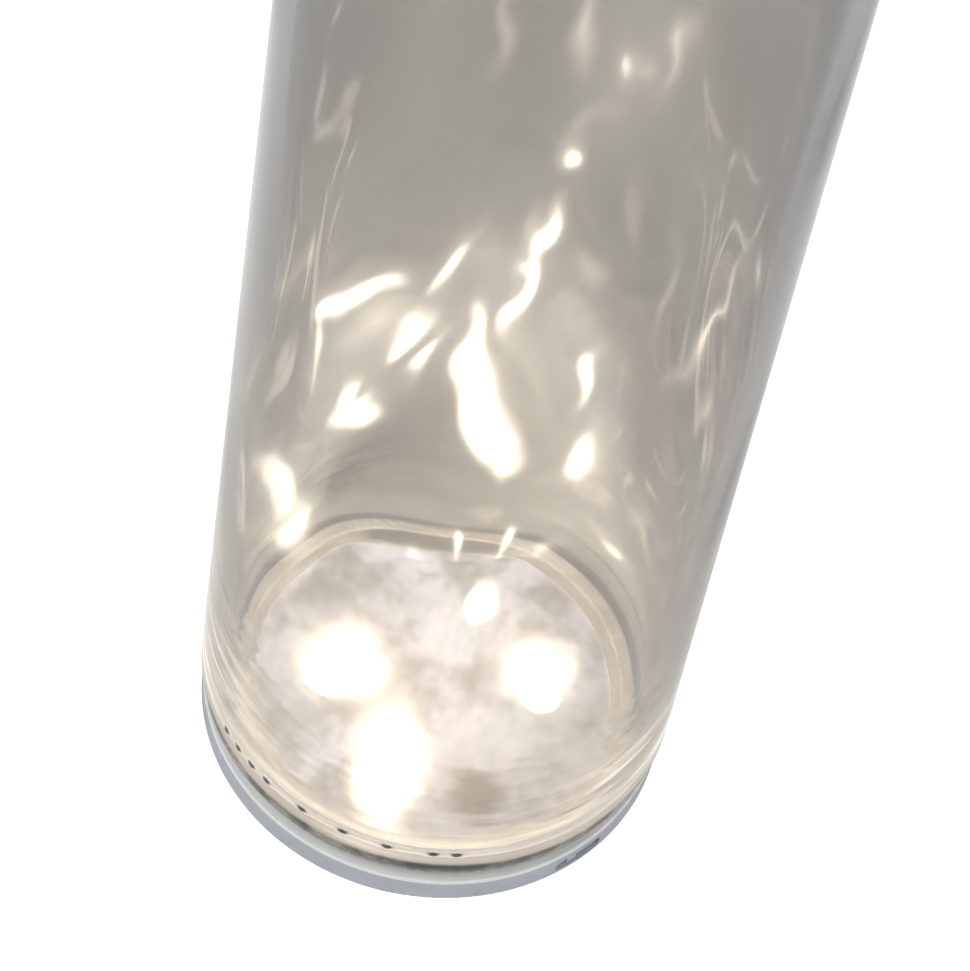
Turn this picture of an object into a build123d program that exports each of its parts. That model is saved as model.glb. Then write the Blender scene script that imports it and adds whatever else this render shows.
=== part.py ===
import os
from math import acos, asin, cos, degrees, radians, sin, sqrt, tan
from build123d import *

os.makedirs("parts", exist_ok=True)

# Light disc
disc_diameter = 60.0
shell_wall = 1.4
shell_floor = 1.0
cover_thickness = 0.6
disc_edge_radius = 0.25
seam_chamfer = 0.15
ledge_width = 1.8
skirt_gap = 0.2
skirt_wall = 1.2
skirt_depth = 0.6
bead_height = 0.35
bead_half_width = 0.2
groove_room = 0.04
adhesive_inner_margin = 1.7
adhesive_outer_margin = 1.0
adhesive_thickness = 0.3

# Coin cells and their doors
cell_diameter = 16.0
cell_thickness = 1.6
cell_wall_room = 0.6
cell_azimuth = 130.0
can_skin = 0.25
can_crimp = 0.9
can_step = 0.1
can_edge_radius = 0.2
cap_edge_radius = 0.15
gasket_width = 0.4
door_overlap = 0.7
door_gap = 0.2
door_recess = 0.1
door_plate = 0.4
lug_reach = 1.4
lug_width = 6.0
lug_height = 0.4
lug_gap = 0.1
door_turn = 90.0
stop_width = 0.8
stop_play = 2.0
coin_slot_length = 11.0
coin_slot_width = 1.6
coin_slot_depth = 0.5

# Board, contacts and light sources
board_thickness = 0.6
board_gap = 0.3
contact_thickness = 0.2
contact_width = 3.6
leaf_pad = 2.6
leaf_rise = 1.2
leaf_room = 0.5
leaf_overrun = 1.0
leaf_corner_radius = 0.8
clip_gap = 0.05
clip_pad = 1.8
clip_foot_gap = 0.2
cover_gap = 0.1
led_circle_diameter = 28.0
led_azimuth = 40.0
led_spread = 33.0
led_length = 3.5
led_width = 2.8
led_height = 0.65
led_corner_chamfer = 0.35
led_cup_diameter = 2.3
led_cup_floor_diameter = 1.8
led_cup_depth = 0.35
lens_diameter = 5.0
lens_gap = 0.05
resistor_length = 2.0
resistor_width = 1.25
resistor_height = 0.5
resistor_circle_diameter = 40.0

# Slide switch
switch_azimuth = -42.0
switch_travel = 2.0
switch_length = 6.6
switch_width = 2.6
switch_skin = 0.2
switch_gap = 0.1
switch_setback = 1.0
switch_room = 0.5
terminal_thickness = 0.15
terminal_length = 2.4
terminal_width = 0.7
terminal_pitch = 2.0
knob_width = 1.4
knob_stem_height = 0.45
knob_cap_height = 1.0
knob_gap = 0.2
knob_inset = 0.25
knob_end_room = 0.3
thumb_recess_length = 7.4
thumb_recess_margin = 0.5
thumb_recess_depth = 0.5

# Bottle and cork
bottle_overhang = 0.5
bottle_wall = 2.6
bottle_base = 3.0
heel_radius = 4.2
bearing_width = 1.6
push_up = 3.0
inner_heel_radius = 3.9
body_height = 168.0
shoulder_radius = 22.0
neck_root_radius = 18.0
neck_diameter = 26.0
neck_height = 46.0
finish_diameter = 28.6
finish_height = 15.0
lip_radius = 1.5
mouth_diameter = 18.5
mouth_depth = 30.0
mouth_flare = 6.0
mouth_edge_radius = 1.0
cork_insert = 20.0
cork_exposed = 17.0
cork_taper = 3.5
cork_gap = 0.05
cork_chamfer = 0.8

# Levels and radii that follow from the stack
lug_level = shell_floor + lug_gap
lug_top = lug_level + lug_height
cell_level = lug_top + lug_gap
cell_top = cell_level + cell_thickness
leaf_top = cell_top + contact_thickness
cover_level = leaf_top + cover_gap
disc_height = cover_level + cover_thickness
board_top = cover_level - skirt_depth
board_level = board_top - board_thickness
bead_level = cover_level - skirt_depth / 2
bottle_level = disc_height + adhesive_thickness
disc_radius = disc_diameter / 2
shell_inner_radius = disc_radius - shell_wall
ledge_radius = shell_inner_radius - ledge_width
skirt_radius = shell_inner_radius - skirt_gap
cell_radius = cell_diameter / 2
board_radius = shell_inner_radius - board_gap
cell_hole_radius = cell_radius + board_gap
leaf_end = skirt_radius - skirt_wall - cell_wall_room
leaf_start = leaf_end - leaf_pad
leaf_step = leaf_start - leaf_rise
cell_offset = leaf_step - leaf_room - cell_hole_radius
door_radius = cell_radius + door_overlap
lug_radius = door_radius + lug_reach
plate_radius = lug_radius + door_gap
plate_top = door_recess + door_plate
lip_level = plate_top + lug_gap
stop_radius = door_radius + lug_reach / 2 + door_gap
bottle_radius = disc_radius + bottle_overhang
bearing_outer = bottle_radius - heel_radius
bearing_inner = bearing_outer - bearing_width
cell_turns = (cell_azimuth, cell_azimuth + 180)
led_turns = (
    led_azimuth - led_spread,
    led_azimuth + led_spread,
    led_azimuth + 180 - led_spread,
    led_azimuth + 180 + led_spread,
)
low = (Align.CENTER, Align.CENTER, Align.MIN)


def polar(radius, angle):
    return (radius * cos(radians(angle)), radius * sin(radians(angle)))


def spot(radius, angle, level, turn):
    """Location at a polar position round the disc's axis, turned about Z."""
    return Location((*polar(radius, angle), level), (0, 0, turn))


def level_plane(radius, angle, level):
    """Level plane at a polar position, with X pointing away from the disc's axis."""
    return Plane(origin=(*polar(radius, angle), level), x_dir=(*polar(1, angle), 0), z_dir=(0, 0, 1))


def upright_plane(angle):
    """Upright plane through the disc's axis: X is the radius and Y is the height."""
    return Plane(origin=(0, 0, 0), x_dir=(*polar(1, angle), 0), z_dir=(*polar(1, angle - 90), 0))


def save(piece, name):
    piece.part.label = name
    export_step(piece.part, f"parts/{name}.step")


# Levels inside the slide switch
switch_low = shell_floor + switch_gap
switch_high = board_level - terminal_thickness
switch_middle = (switch_low + switch_high) / 2
switch_front = shell_inner_radius - switch_setback
switch_back = switch_front - switch_width
knob_span = knob_width + switch_travel
knob_rest = -switch_travel / 2

# Base shell: a cup with a ledge for the board and a groove for the cover's bead
with BuildPart() as base_shell:
    with BuildSketch(Plane.XZ):
        with BuildLine():
            Polyline(
                (0, 0),
                (disc_radius, 0),
                (disc_radius, cover_level),
                (shell_inner_radius, cover_level),
                (shell_inner_radius, bead_level + bead_half_width + groove_room),
                (shell_inner_radius + bead_height, bead_level),
                (shell_inner_radius, bead_level - bead_half_width - groove_room),
                (shell_inner_radius, board_level),
                (ledge_radius, board_level),
                (ledge_radius, shell_floor),
                (0, shell_floor),
                (0, 0),
            )
        make_face()
    revolve(axis=Axis.Z)
    fillet(edges().filter_by(GeomType.CIRCLE).group_by(Axis.Z)[0], disc_edge_radius)
    rim_edges = edges().filter_by(GeomType.CIRCLE).group_by(Axis.Z)[-1]
    chamfer(rim_edges.sort_by(SortBy.RADIUS)[-1], seam_chamfer)
    for turn in cell_turns:
        # Seat for the door's plate, and an opening with two notches that let the bayonet lugs through
        with BuildSketch(level_plane(cell_offset, turn, 0)):
            Circle(plate_radius + door_gap)
        extrude(amount=lip_level, mode=Mode.SUBTRACT)
        with BuildSketch(level_plane(cell_offset, turn, 0)):
            Circle(lug_radius + door_gap)
            Rectangle(4 * lug_radius, lug_width + 2 * door_gap, mode=Mode.INTERSECT)
            Circle(door_radius + door_gap)
        extrude(amount=shell_floor, mode=Mode.SUBTRACT)
        # Two posts that stop the lugs, one locked and one open
        for stop_side in (1, -1):
            lug_half = degrees(asin(lug_width / 2 / stop_radius))
            post_half = degrees(asin(stop_width / 2 / stop_radius)) + stop_play
            stop_angle = door_turn + lug_half + post_half if stop_side > 0 else -lug_half - post_half
            with BuildSketch(level_plane(cell_offset, turn, shell_floor)):
                with Locations(polar(stop_radius, stop_angle)):
                    Circle(stop_width / 2)
            extrude(amount=lug_gap + lug_height)
    # Relief in the ledge, slot in the wall and thumb recess for the slide switch
    with Locations(spot(ledge_radius, switch_azimuth, shell_floor, switch_azimuth)):
        Box(
            2 * ledge_width,
            switch_length + 2 * switch_room,
            board_level - shell_floor,
            align=low,
            mode=Mode.SUBTRACT,
        )
    with Locations(spot(disc_radius, switch_azimuth, switch_middle, switch_azimuth)):
        Box(3 * shell_wall, knob_span + 2 * knob_end_room, knob_cap_height + 2 * knob_gap, mode=Mode.SUBTRACT)
    side_plane = Plane(
        origin=(*polar(disc_radius, switch_azimuth), switch_middle),
        x_dir=(*polar(1, switch_azimuth + 90), 0),
        z_dir=(*polar(1, switch_azimuth), 0),
    )
    recess_sagitta = disc_radius - sqrt(disc_radius ** 2 - thumb_recess_length ** 2 / 4)
    with BuildSketch(side_plane):
        SlotOverall(thumb_recess_length, knob_cap_height + 2 * thumb_recess_margin)
    extrude(amount=-thumb_recess_depth - recess_sagitta, mode=Mode.SUBTRACT)
save(base_shell, "base_shell")

# Top cover: a lid with a snap skirt and four round windows
with BuildPart() as top_cover:
    with BuildSketch(Plane.XZ):
        with BuildLine():
            Polyline(
                (0, disc_height),
                (disc_radius, disc_height),
                (disc_radius, cover_level),
                (skirt_radius, cover_level),
                (skirt_radius, bead_level + bead_half_width),
                (skirt_radius + bead_height, bead_level),
                (skirt_radius, bead_level - bead_half_width),
                (skirt_radius, board_top),
                (skirt_radius - skirt_wall, board_top),
                (skirt_radius - skirt_wall, cover_level),
                (0, cover_level),
                (0, disc_height),
            )
        make_face()
    revolve(axis=Axis.Z)
    fillet(edges().filter_by(GeomType.CIRCLE).group_by(Axis.Z)[-1], disc_edge_radius)
    seam_edges = edges().filter_by(GeomType.CIRCLE).filter_by_position(Axis.Z, cover_level, cover_level)
    chamfer(seam_edges.sort_by(SortBy.RADIUS)[-1], seam_chamfer)
    for turn in led_turns:
        with Locations(spot(led_circle_diameter / 2, turn, cover_level, 0)):
            Cylinder(lens_diameter / 2 + lens_gap, cover_thickness, align=low, mode=Mode.SUBTRACT)
save(top_cover, "top_cover")

# Tacky ring that the bottle stands on
with BuildPart() as adhesive_ring:
    with BuildSketch(Plane.XY.offset(disc_height)):
        Circle(bearing_outer + adhesive_outer_margin)
        Circle(bearing_inner - adhesive_inner_margin, mode=Mode.SUBTRACT)
    extrude(amount=adhesive_thickness)
save(adhesive_ring, "adhesive_ring")

# Round board with a cut-out and a clip notch for each cell
with BuildPart() as circuit_board:
    with BuildSketch(Plane.XY.offset(board_level)):
        Circle(board_radius)
        for turn in cell_turns:
            with Locations(polar(cell_offset, turn)):
                Circle(cell_hole_radius, mode=Mode.SUBTRACT)
            with Locations(Location(polar(cell_offset - cell_radius, turn), turn)):
                notch_depth = 4 * board_gap + 2 * contact_thickness
                Rectangle(notch_depth, contact_width + 2 * board_gap, mode=Mode.SUBTRACT)
    extrude(amount=board_thickness)
save(circuit_board, "circuit_board")

# Light sources: a case with a conical cup, its phosphor filling and the lens above it
lens_level = board_top + led_height + lens_gap
cup_floor_radius = led_cup_floor_diameter / 2
cup_radius = led_cup_diameter / 2
for number, turn in enumerate(led_turns, 1):
    place = spot(led_circle_diameter / 2, turn, board_top, cell_azimuth)
    cup = spot(led_circle_diameter / 2, turn, board_top + led_height - led_cup_depth, 0)
    with BuildPart() as led_case:
        with Locations(place):
            Box(led_length, led_width, led_height, align=low)
        chamfer(edges().filter_by(Axis.Z).sort_by(Axis.X)[0], led_corner_chamfer)
        with Locations(cup):
            Cone(cup_floor_radius, cup_radius, led_cup_depth, align=low, mode=Mode.SUBTRACT)
    save(led_case, f"led_case_{number}")
    with BuildPart() as led_phosphor:
        with Locations(cup):
            Cone(cup_floor_radius, cup_radius, led_cup_depth, align=low)
    save(led_phosphor, f"led_phosphor_{number}")
    with BuildPart() as lens:
        with Locations(spot(led_circle_diameter / 2, turn, lens_level, 0)):
            Cylinder(lens_diameter / 2, disc_height - lens_level, align=low)
    save(lens, f"lens_{number}")

# One chip resistor beside each light source, all in one node
with BuildPart() as resistors:
    for turn in led_turns:
        with Locations(spot(resistor_circle_diameter / 2, turn, board_top, turn + 90)):
            Box(resistor_length, resistor_width, resistor_height, align=low)
save(resistors, "resistors")

# Coin cells: can, gasket and cap, with the contacts that hold them
for number, turn in enumerate(cell_turns, 1):
    centre = polar(cell_offset, turn)
    cap_radius = cell_radius - can_crimp - gasket_width
    with BuildPart() as cell_can:
        with Locations((*centre, cell_level)):
            Cylinder(cell_radius, cell_thickness - can_step, align=low)
        fillet(edges().filter_by(GeomType.CIRCLE), can_edge_radius)
        with Locations((*centre, cell_level + can_skin)):
            Cylinder(cell_radius - can_crimp, cell_thickness, align=low, mode=Mode.SUBTRACT)
    save(cell_can, f"cell_can_{number}")
    with BuildPart() as cell_gasket:
        with Locations((*centre, cell_level + can_skin)):
            Cylinder(cap_radius + gasket_width, cell_thickness - can_skin - can_step / 2, align=low)
            Cylinder(cap_radius, cell_thickness, align=low, mode=Mode.SUBTRACT)
    save(cell_gasket, f"cell_gasket_{number}")
    with BuildPart() as cell_cap:
        with Locations((*centre, cell_level + can_skin)):
            Cylinder(cap_radius, cell_thickness - can_skin, align=low)
        fillet(edges().filter_by(GeomType.CIRCLE).sort_by(Axis.Z)[-1], cap_edge_radius)
    save(cell_cap, f"cell_cap_{number}")

    # Negative leaf: soldered outside the cell, stepping up over its cap
    with BuildPart() as negative_contact:
        with BuildSketch(upright_plane(turn)):
            with BuildLine():
                Polyline(
                    (leaf_end, board_top),
                    (leaf_end, board_top + contact_thickness),
                    (leaf_start, board_top + contact_thickness),
                    (leaf_step, leaf_top),
                    (cell_offset - leaf_overrun, leaf_top),
                    (cell_offset - leaf_overrun, cell_top),
                    (leaf_step, cell_top),
                    (leaf_start, board_top),
                    (leaf_end, board_top),
                )
            make_face()
        extrude(amount=contact_width / 2, both=True)
        fillet(edges().filter_by(Axis.Z).sort_by(Axis.Z)[-2:], leaf_corner_radius)
    save(negative_contact, f"negative_contact_{number}")

    # Positive clip: soldered between the cells, with a leg that bears on the can's side
    clip_face = cell_offset - cell_radius - clip_gap
    with BuildPart() as positive_contact:
        with BuildSketch(upright_plane(turn)):
            with BuildLine():
                Polyline(
                    (clip_face, cell_level + clip_foot_gap),
                    (clip_face, board_top + contact_thickness),
                    (clip_face - clip_pad, board_top + contact_thickness),
                    (clip_face - clip_pad, board_top),
                    (clip_face - contact_thickness, board_top),
                    (clip_face - contact_thickness, cell_level + clip_foot_gap),
                    (clip_face, cell_level + clip_foot_gap),
                )
            make_face()
        extrude(amount=contact_width / 2, both=True)
    save(positive_contact, f"positive_contact_{number}")

    # Battery door: a flush plate over the notches, a hub, two bayonet lugs and a coin slot
    with BuildPart() as battery_door:
        with BuildSketch(level_plane(cell_offset, turn, door_recess)):
            Circle(plate_radius)
        extrude(amount=door_plate)
        with BuildSketch(level_plane(cell_offset, turn, plate_top)):
            Circle(door_radius)
        extrude(amount=lug_top - plate_top)
        with BuildSketch(level_plane(cell_offset, turn, lug_level)):
            Circle(lug_radius)
            Rectangle(4 * lug_radius, lug_width, rotation=door_turn, mode=Mode.INTERSECT)
        extrude(amount=lug_height)
        with BuildSketch(level_plane(cell_offset, turn, door_recess)):
            SlotOverall(coin_slot_length, coin_slot_width)
        extrude(amount=coin_slot_depth, mode=Mode.SUBTRACT)
    save(battery_door, f"battery_door_{number}")

# Slide switch: metal case with an open front, terminals under the board and the knob
with BuildPart() as switch_case:
    with Locations(spot((switch_front + switch_back) / 2, switch_azimuth, switch_low, switch_azimuth)):
        Box(switch_width, switch_length, switch_high - switch_low, align=low)
    with Locations(spot(switch_front, switch_azimuth, switch_low + switch_skin, switch_azimuth)):
        Box(
            2 * (switch_width - 2 * switch_skin),
            knob_span + 2 * switch_room,
            switch_high - switch_low - 2 * switch_skin,
            align=low,
            mode=Mode.SUBTRACT,
        )
save(switch_case, "switch_case")

with BuildPart() as switch_terminals:
    for step in (-1, 0, 1):
        with Locations(spot(switch_back, switch_azimuth, switch_high, switch_azimuth)):
            with Locations((0, step * terminal_pitch, 0)):
                Box(terminal_length, terminal_width, terminal_thickness, align=low)
save(switch_terminals, "switch_terminals")

with BuildPart() as switch_knob:
    with Locations(spot(0, 0, switch_middle, switch_azimuth)):
        stem_back = switch_back + 3 * switch_skin
        cap_back = shell_inner_radius + knob_gap
        cap_front = disc_radius - knob_inset
        with Locations(((stem_back + cap_back) / 2, knob_rest, 0)):
            Box(cap_back - stem_back, knob_width, knob_stem_height)
        with Locations(((cap_front + cap_back) / 2, knob_rest, 0)):
            Box(cap_front - cap_back, knob_width, knob_cap_height)
save(switch_knob, "switch_knob")

# Bottle: heel and push-up below, two tangent arcs at the shoulder, a corked finish above
inner_radius = bottle_radius - bottle_wall
neck_radius = neck_diameter / 2
neck_inner_radius = neck_radius - bottle_wall
finish_radius = finish_diameter / 2
mouth_radius = mouth_diameter / 2
dome_radius = (bearing_inner ** 2 + push_up ** 2) / (2 * push_up)
dome_centre = push_up - dome_radius
dome_angle = degrees(acos(bearing_inner / dome_radius))
floor_radius = dome_radius + bottle_base
inner_heel_x = inner_radius - inner_heel_radius
inner_heel_y = dome_centre + sqrt((floor_radius + inner_heel_radius) ** 2 - inner_heel_x ** 2)
floor_angle = degrees(acos(inner_heel_x / (floor_radius + inner_heel_radius)))
shoulder_x = bottle_radius - shoulder_radius
neck_x = neck_radius + neck_root_radius
arc_sum = shoulder_radius + neck_root_radius
neck_level = body_height + sqrt(arc_sum ** 2 - (neck_x - shoulder_x) ** 2)
shoulder_sweep = degrees(acos((neck_x - shoulder_x) / arc_sum))
finish_level = neck_level + neck_height
finish_slope = finish_radius - neck_radius
bottle_top = finish_level + finish_height
lip_level_up = bottle_top - lip_radius
edge_level = bottle_top - mouth_edge_radius
bore_level = bottle_top - mouth_depth
flare_level = bore_level - mouth_flare
mouth_edge_x = mouth_radius + mouth_edge_radius

with BuildPart() as glass_bottle:
    with BuildSketch(Plane(origin=(0, 0, bottle_level), x_dir=(1, 0, 0), z_dir=(0, -1, 0))):
        with BuildLine():
            Line((0, push_up + bottle_base), (0, push_up))
            CenterArc((0, dome_centre), dome_radius, 90, dome_angle - 90)
            Line((bearing_inner, 0), (bearing_outer, 0))
            CenterArc((bearing_outer, heel_radius), heel_radius, -90, 90)
            Line((bottle_radius, heel_radius), (bottle_radius, body_height))
            CenterArc((shoulder_x, body_height), shoulder_radius, 0, shoulder_sweep)
            CenterArc((neck_x, neck_level), neck_root_radius, 180, shoulder_sweep)
            Line((neck_radius, neck_level), (neck_radius, finish_level))
            Line((neck_radius, finish_level), (finish_radius, finish_level + finish_slope))
            Line((finish_radius, finish_level + finish_slope), (finish_radius, lip_level_up))
            CenterArc((finish_radius - lip_radius, lip_level_up), lip_radius, 0, 90)
            Line((finish_radius - lip_radius, bottle_top), (mouth_edge_x, bottle_top))
            CenterArc((mouth_edge_x, edge_level), mouth_edge_radius, 90, 90)
            Line((mouth_radius, edge_level), (mouth_radius, bore_level))
            Line((mouth_radius, bore_level), (neck_inner_radius, flare_level))
            Line((neck_inner_radius, flare_level), (neck_inner_radius, neck_level))
            CenterArc((neck_x, neck_level), neck_root_radius + bottle_wall, 180, shoulder_sweep)
            CenterArc((shoulder_x, body_height), shoulder_radius - bottle_wall, 0, shoulder_sweep)
            Line((inner_radius, body_height), (inner_radius, inner_heel_y))
            CenterArc((inner_heel_x, inner_heel_y), inner_heel_radius, 0, floor_angle - 180)
            CenterArc((0, dome_centre), floor_radius, 90, floor_angle - 90)
        make_face()
    revolve(axis=Axis.Z)
save(glass_bottle, "glass_bottle")

# Natural cork: a taper that just fits the mouth, chamfered at both ends
cork_seat = bottle_level + edge_level
cork_seat_radius = mouth_radius - cork_gap
cork_slope = tan(radians(cork_taper))
with BuildPart() as cork:
    with BuildSketch(Plane.XZ):
        with BuildLine():
            Polyline(
                (0, cork_seat - cork_insert),
                (cork_seat_radius - cork_insert * cork_slope, cork_seat - cork_insert),
                (cork_seat_radius + cork_exposed * cork_slope, cork_seat + cork_exposed),
                (0, cork_seat + cork_exposed),
                (0, cork_seat - cork_insert),
            )
        make_face()
    revolve(axis=Axis.Z)
    chamfer(edges().filter_by(GeomType.CIRCLE), cork_chamfer)
save(cork, "cork")
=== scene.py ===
"""Looks for the cork bottle light: a clear glass bottle with a natural cork on a thin, warm light disc."""

import bpy
import numpy as np
from mathutils import Matrix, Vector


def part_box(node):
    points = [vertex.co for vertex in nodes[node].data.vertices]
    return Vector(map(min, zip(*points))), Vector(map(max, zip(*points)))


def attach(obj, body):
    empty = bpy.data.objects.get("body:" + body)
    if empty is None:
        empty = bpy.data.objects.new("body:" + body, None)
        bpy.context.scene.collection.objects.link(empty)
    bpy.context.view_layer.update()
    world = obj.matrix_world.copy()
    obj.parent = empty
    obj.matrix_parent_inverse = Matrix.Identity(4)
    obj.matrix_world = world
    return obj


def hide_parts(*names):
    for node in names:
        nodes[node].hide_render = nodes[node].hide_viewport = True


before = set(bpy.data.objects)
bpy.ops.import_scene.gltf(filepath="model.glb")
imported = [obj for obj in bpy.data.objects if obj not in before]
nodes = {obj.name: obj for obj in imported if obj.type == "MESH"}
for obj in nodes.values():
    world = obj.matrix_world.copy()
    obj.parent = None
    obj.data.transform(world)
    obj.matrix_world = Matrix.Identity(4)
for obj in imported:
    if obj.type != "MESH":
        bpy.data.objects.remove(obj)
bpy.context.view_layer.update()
scene = bpy.context.scene
scene.view_settings.view_transform = "Standard"

# Sizes read from the frame, metres
bottle_low, bottle_high = np.array(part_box("glass_bottle"))
cork_low, cork_high = np.array(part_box("cork"))
BOTTLE_FOOT = bottle_low[2]
BODY_RADIUS = bottle_high[0]
CORK_RADIUS = cork_high[0]
DISC_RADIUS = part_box("base_shell")[1][0]

# Sizes of the bottle's outline, shared with its solid
BOTTLE_WALL = 0.0026
HEEL = 0.0042
BEARING = 0.0016
PUSH_UP = 0.0030
BASE = 0.0030
INNER_HEEL = 0.0039
BODY_HEIGHT = 0.168
SHOULDER = 0.022
NECK_ROOT = 0.018
NECK = 0.013
NECK_HEIGHT = 0.046
FINISH = 0.0143
FINISH_HEIGHT = 0.015
LIP = 0.0015
MOUTH = 0.00925
MOUTH_DEPTH = 0.030
MOUTH_FLARE = 0.006
MOUTH_EDGE = 0.001
BEARING_OUT = BODY_RADIUS - HEEL
BEARING_IN = BEARING_OUT - BEARING
INNER_RADIUS = BODY_RADIUS - BOTTLE_WALL
FLOOR_EDGE = INNER_RADIUS - INNER_HEEL

# Unevenness of the glass
WAVE_SEED = 346
WAVE_COUNT = 26
WAVE_ROUNDS = (2, 12)
WAVE_ALONG = (20, 110)
WAVE_START = (0.010, 0.026)
WAVE_END = 0.03
PHASES = (0, 6.28)
INNER_SLOPE = 0.018
OUTER_SLOPE = 0.0012
FRONT_SHARE = 0.15
BACK_SIDE = (-0.2, 0.75)
CHORD_PLACE = 0.0188
CHORD_TILT = 0.22
CHORD_BEND = 5.5
CHORD_SOFT = 0.0025
CHORD_LEAN = 0.2
GATHER_IN = 0.010
GATHER_TOP = 0.040
RIDGES = 104
RIDGE_DEPTH = 0.00025
RIDGE_IN = 0.0008
RIDGE_OUT = 0.0026
RIDGE_FADE = 0.0012
DOT_START = -142.6
DOT_STEP = 5.47
DOT_PLACES = [0, 1, 2, 3, 5, 7, 9, 11, 12]
DOT_UP = 0.0079
DOT_WIDTH = 0.0007
DOT_HEIGHT = 0.0003
TURNS = 3 * RIDGES
UNEVEN_TOP = 0.112

# Light of the four sources on the cover, as the uneven base spreads it: x, y, half widths (mm)
COVER_POWER = 9.0
SPOTS = {
    "left": (-12.4, 1.2, 5.2, 5.6),
    "right": (13.0, 5.0, 5.0, 4.7),
    "front": (-3.5, -13.8, 4.9, 9.4),
    "back": (4.5, 13.7, 2.2, 3.2),
}
# Middle of a dimmer, browner spot in the cover's light (metres)
DIM_SPOT = (0.0078, -0.0150)

# Painted glints and haze on the back wall, standing in for reflections of the sources: turn (degrees),
# height, half width, half length (mm), lean (degrees), level
GLINTS = {
    "arc": (133, 57.6, 5.2, 1.7, 0, 3.0),
    "arc_end": (144.5, 56.6, 2.6, 1.5, 40, 2.0),
    "arc_bend": (147.8, 52.8, 1.2, 3.4, 10, 1.6),
    "arc_tail": (149.3, 46.5, 0.9, 4.5, 0, 0.9),
    "arc_glow": (130, 50, 6.5, 7.0, 0, 0.8),
    "patch": (131, 31.6, 3.6, 2.4, 0, 3.0),
    "patch_side": (125, 28.8, 2.6, 1.7, 0, 2.4),
    "patch_top": (134, 36.6, 1.5, 2.6, 10, 2.0),
    "knee": (115.9, 44.8, 1.9, 4.2, 20, 2.8),
    "drop": (108.9, 39.5, 0.9, 3.6, 25, 2.0),
    "hook": (107.5, 58.5, 1.0, 4.6, 12, 2.0),
    "flame_high": (95.8, 42, 1.5, 6.0, 3, 2.6),
    "flame_middle": (92.6, 32.5, 1.8, 5.6, -8, 2.9),
    "flame_low": (87.5, 26.2, 2.2, 3.8, -16, 2.9),
    "flame_tip": (83, 21, 1.5, 2.4, 0, 1.6),
    "flame_glow": (90, 33, 7.0, 12.0, 0, 0.7),
    "streak_high": (82.2, 64.5, 1.3, 5.0, 12, 3.0),
    "streak_low": (85, 51.5, 1.25, 6.5, 3, 3.0),
    "streak_side": (88.7, 55.5, 1.8, 2.0, 20, 1.3),
    "tick": (68, 42.6, 1.1, 4.8, 4, 2.6),
    "low_right": (60.7, 26.8, 1.6, 3.0, 0, 2.6),
    "low_right_glow": (58, 29, 5.5, 8.0, 0, 0.65),
    "amber": (71.3, 61.7, 1.2, 2.4, 20, 0.9),
    "side_line": (46.7, 69, 0.7, 6.5, 0, 0.8),
    "side_a": (25, 72, 1.1, 8.0, 12, 1.5),
    "side_b": (18, 84, 1.0, 9.0, 16, 1.4),
    "side_c": (20, 61, 1.1, 6.0, 14, 1.3),
    "side_d": (31, 64, 1.0, 8.0, 16, 1.0),
    "right_dot": (2, 97, 1.8, 2.4, 0, 1.6),
    "high": (82.5, 78.5, 1.4, 3.0, 6, 2.4),
    "high_tail": (79, 86, 1.6, 6.0, 22, 0.5),
    "top_a": (104.2, 101, 0.8, 6.5, 0, 0.9),
    "top_b": (85.3, 102.5, 1.0, 6.0, 0, 1.1),
    "top_c": (70.9, 99.3, 1.0, 2.2, 0, 1.3),
    "top_d": (60.5, 105, 1.2, 6.0, 10, 1.1),
    "left_patch": (159, 27, 1.9, 12.5, -22, 3.2),
    "left_end": (145, 11, 2.6, 3.4, -40, 2.4),
    "left_small": (165.6, 59, 1.6, 3.0, 0, 0.8),
    "left_dot": (155.6, 72.5, 1.2, 2.0, 20, 0.8),
    "right_low": (44, 15.5, 3.0, 1.6, 0, 1.8),
    "right_edge": (35, 25, 3.2, 1.4, 30, 1.1),
    "bar_a": (112, 8.2, 1.6, 0.7, 0, 2.0),
    "bar_b": (95, 8.2, 1.2, 0.8, 0, 2.4),
    "bar_c": (76, 8.6, 1.0, 1.4, 0, 2.4),
    "bar_d": (62, 9.0, 2.0, 0.7, 0, 1.2),
    "soft_glow": (100, 58, 5.0, 3.0, 0, 0.35),
    "middle_haze": (108, 47, 19.0, 16.0, 0, 0.62),
    "left_haze": (132, 30, 10.0, 12.0, 0, 0.40),
    "side_haze": (153, 40, 7.0, 18.0, 0, 0.40),
    "top_haze": (70, 100, 7.0, 14.0, 0, 0.40),
    "right_haze": (64, 34, 10.0, 13.0, 0, 0.35),
    "low_haze": (69, 19, 12.0, 10.0, 0, 0.75),
    "back_haze": (106, 17, 12.0, 7.0, 0, 0.35),
    "heel_haze": (95, 8, 17.0, 2.2, 0, 0.40),
}
WISP_SEED = 5
WISP_COUNT = 12
WISP_REACH = 0.00026
WISP_ROUNDS = (3, 24)
WISP_ALONG = (-550, 550)

# Cork
CORK_TAPER = 3.5
CORK_CHAMFER = 0.0008
PIT_SEED = 12
PIT_COUNT = 230
PIT_MARGIN = 0.002
PIT_WIDTHS = (0.0003, 0.0013)
PIT_RISES = (0.00025, 0.0006)
PIT_LEVELS = (0.4, 1.0)
PIT_DEPTH = 0.0003
CORK_TURNS = 180
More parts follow.
